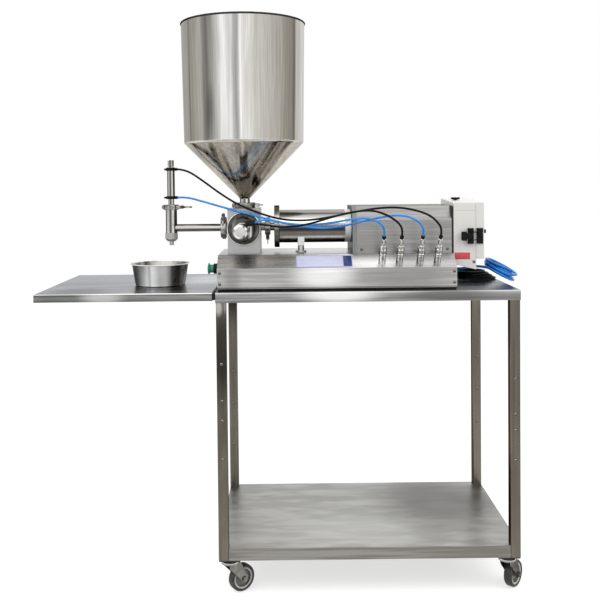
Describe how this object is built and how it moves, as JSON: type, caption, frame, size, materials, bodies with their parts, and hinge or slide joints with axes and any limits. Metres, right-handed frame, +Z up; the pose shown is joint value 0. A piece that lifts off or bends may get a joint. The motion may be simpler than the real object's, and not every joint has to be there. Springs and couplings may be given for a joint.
{
  "type": "dosing machine",
  "caption": "Pneumatic piston filler with a conical hopper, nozzle and control box on a wheeled steel table with a side shelf.",
  "frame": {"origin": "middle of the machine's footprint on the floor, the cords left out", "axes": "+X to the right and +Y to the back as the operator faces the machine, +Z up"},
  "size_m": [1.3819, 0.565, 1.6188],
  "materials": {
    "stainless_satin": "satin brushed stainless steel",
    "stainless_warm": "brushed stainless tube with a warm tone",
    "stainless_mirror": "mirror polished stainless steel",
    "stainless_turned": "turned and polished stainless steel",
    "zinc": "bright zinc plated steel",
    "tyre_dark": "dark rubber tread",
    "hub_grey": "grey moulded nylon",
    "rubber_black": "black rubber",
    "ptfe_white": "white PTFE",
    "dark_plate": "dark anodised plate",
    "aluminium_anodised": "clear anodised aluminium",
    "button_green": "glossy green plastic",
    "box_grey": "light grey powder coat",
    "black_plastic": "black moulded plastic",
    "nickel": "nickel plated brass",
    "hose_blue": "bright blue polyurethane tube",
    "hose_black": "black polyurethane tube"
  },
  "bodies": {
    "root": {"table_top": "stainless_satin", "legs": "stainless_warm", "dome_screws": "stainless_turned", "lower_shelf": "stainless_satin", "side_shelf": "stainless_satin", "shelf_arms": "stainless_warm", "caster_plates": "zinc", "base_cover": "stainless_satin", "base_end_plates": "stainless_satin", "base_feet": "rubber_black", "button_collar": "nickel", "drive_cover": "stainless_satin", "drive_front_plate": "dark_plate", "air_cylinder": "aluminium_anodised", "product_cylinder": "stainless_turned", "cylinder_flange": "stainless_turned", "rear_collar": "ptfe_white", "support_post": "stainless_turned", "valve_block": "stainless_turned", "valve_cover": "dark_plate", "valve_actuator": "aluminium_anodised", "pipe_clamps": "stainless_turned", "push_in_fittings": "black_plastic", "nozzle_body": "stainless_turned", "nozzle_cap_nut": "stainless_turned", "nozzle_cylinder": "aluminium_anodised", "hopper": "stainless_mirror", "couplers": "nickel", "control_box": "box_grey", "latch_base": "black_plastic", "tube_black_nozzle": "hose_black", "tube_blue_nozzle": "hose_blue", "tube_black_valve": "hose_black", "tube_blue_valve": "hose_blue", "supply_hose": "hose_blue", "hose_coil": "hose_blue", "cable_hank": "rubber_black"},
    "piston": {"piston_rod": "stainless_turned", "pistons": "ptfe_white"},
    "valve_spool": {"valve_spool": "stainless_turned"},
    "nozzle_plunger": {"nozzle_plunger": "stainless_turned"},
    "push_button": {"push_button": "button_green"},
    "box_door": {"control_box_door": "box_grey", "latch_catch": "black_plastic"},
    "latch_lever": {"latch_lever": "black_plastic"},
    "latch_bail": {"latch_bail": "zinc"},
    "box_knob": {"box_knob": "black_plastic"},
    "drip_bowl": {"drip_bowl": "stainless_satin"},
    "sleeve_1": {"coupler_sleeve_1": "nickel"},
    "sleeve_2": {"coupler_sleeve_2": "nickel"},
    "sleeve_3": {"coupler_sleeve_3": "nickel"},
    "sleeve_4": {"coupler_sleeve_4": "nickel"},
    "caster_front_left": {"caster_fork_front_left": "zinc"},
    "wheel_front_left": {"caster_wheel_front_left": "tyre_dark"},
    "caster_front_right": {"caster_fork_front_right": "zinc"},
    "wheel_front_right": {"caster_wheel_front_right": "tyre_dark"},
    "caster_rear_left": {"caster_fork_rear_left": "zinc"},
    "wheel_rear_left": {"caster_wheel_rear_left": "tyre_dark"},
    "caster_rear_right": {"caster_fork_rear_right": "zinc"},
    "wheel_rear_right": {"caster_wheel_rear_right": "tyre_dark"}
  },
  "joints": [
    {"name": "piston_stroke", "type": "slide", "parent": "root", "child": "piston", "axis": [1, 0, 0], "range_m": [0, 0.15]},
    {"name": "spool_shift", "type": "slide", "parent": "root", "child": "valve_spool", "axis": [0, 1, 0], "range_m": [0, 0.025]},
    {"name": "nozzle_lift", "type": "slide", "parent": "root", "child": "nozzle_plunger", "axis": [0, 0, 1], "range_m": [0, 0.015]},
    {"name": "button_press", "type": "slide", "parent": "root", "child": "push_button", "axis": [1, 0, 0], "range_m": [0, 0.005], "stiffness_N_per_m": 400},
    {"name": "door_hinge", "type": "hinge", "parent": "root", "child": "box_door", "pos_m": [0.55565, 0.0778, 1.01], "axis": [0, 0, 1], "range_deg": [0, 110]},
    {"name": "latch_lever_hinge", "type": "hinge", "parent": "root", "child": "latch_lever", "pos_m": [0.5395, -0.135, 0.994], "axis": [0, 0, 1], "range_deg": [0, 110]},
    {"name": "latch_bail_hinge", "type": "hinge", "parent": "latch_lever", "child": "latch_bail", "pos_m": [0.5315, -0.14, 0.994], "axis": [0, 0, 1], "range_deg": [-110, 0]},
    {"name": "knob_turn", "type": "hinge", "parent": "root", "child": "box_knob", "pos_m": [0.5185, -0.0175, 1.095], "axis": [0, 0, 1], "continuous": true},
    {"name": "bowl_lift", "type": "slide", "parent": "root", "child": "drip_bowl", "axis": [0, 0, 1], "range_m": [0, 0.06]},
    {"name": "sleeve_1_slide", "type": "slide", "parent": "root", "child": "sleeve_1", "axis": [0, 0.6139, -0.7894], "range_m": [0, 0.005], "stiffness_N_per_m": 600},
    {"name": "sleeve_2_slide", "type": "slide", "parent": "root", "child": "sleeve_2", "axis": [0, 0.6139, -0.7894], "range_m": [0, 0.005], "stiffness_N_per_m": 600},
    {"name": "sleeve_3_slide", "type": "slide", "parent": "root", "child": "sleeve_3", "axis": [0, 0.6139, -0.7894], "range_m": [0, 0.005], "stiffness_N_per_m": 600},
    {"name": "sleeve_4_slide", "type": "slide", "parent": "root", "child": "sleeve_4", "axis": [0, 0.6139, -0.7894], "range_m": [0, 0.005], "stiffness_N_per_m": 600},
    {"name": "swivel_front_left", "type": "hinge", "parent": "root", "child": "caster_front_left", "pos_m": [-0.15101, -0.186, 0.095], "axis": [0, 0, 1], "continuous": true},
    {"name": "roll_front_left", "type": "hinge", "parent": "caster_front_left", "child": "wheel_front_left", "pos_m": [-0.12151, -0.16535, 0.0375], "axis": [-0.5736, 0.8192, 0], "continuous": true},
    {"name": "swivel_front_right", "type": "hinge", "parent": "root", "child": "caster_front_right", "pos_m": [0.626, -0.186, 0.095], "axis": [0, 0, 1], "continuous": true},
    {"name": "roll_front_right", "type": "hinge", "parent": "caster_front_right", "child": "wheel_front_right", "pos_m": [0.64914, -0.15842, 0.0375], "axis": [-0.766, 0.6428, 0], "continuous": true},
    {"name": "swivel_rear_left", "type": "hinge", "parent": "root", "child": "caster_rear_left", "pos_m": [-0.15101, 0.251, 0.095], "axis": [0, 0, 1], "continuous": true},
    {"name": "roll_rear_left", "type": "hinge", "parent": "caster_rear_left", "child": "wheel_rear_left", "pos_m": [-0.12786, 0.22342, 0.0375], "axis": [0.766, 0.6428, 0], "continuous": true},
    {"name": "swivel_rear_right", "type": "hinge", "parent": "root", "child": "caster_rear_right", "pos_m": [0.626, 0.251, 0.095], "axis": [0, 0, 1], "continuous": true},
    {"name": "roll_rear_right", "type": "hinge", "parent": "caster_rear_right", "child": "wheel_rear_right", "pos_m": [0.61078, 0.21837, 0.0375], "axis": [0.9063, -0.4226, 0], "continuous": true}
  ],
  "couplings": [
    {"joint": "latch_bail_hinge", "follows": "latch_lever_hinge", "ratio": -1}
  ]
}
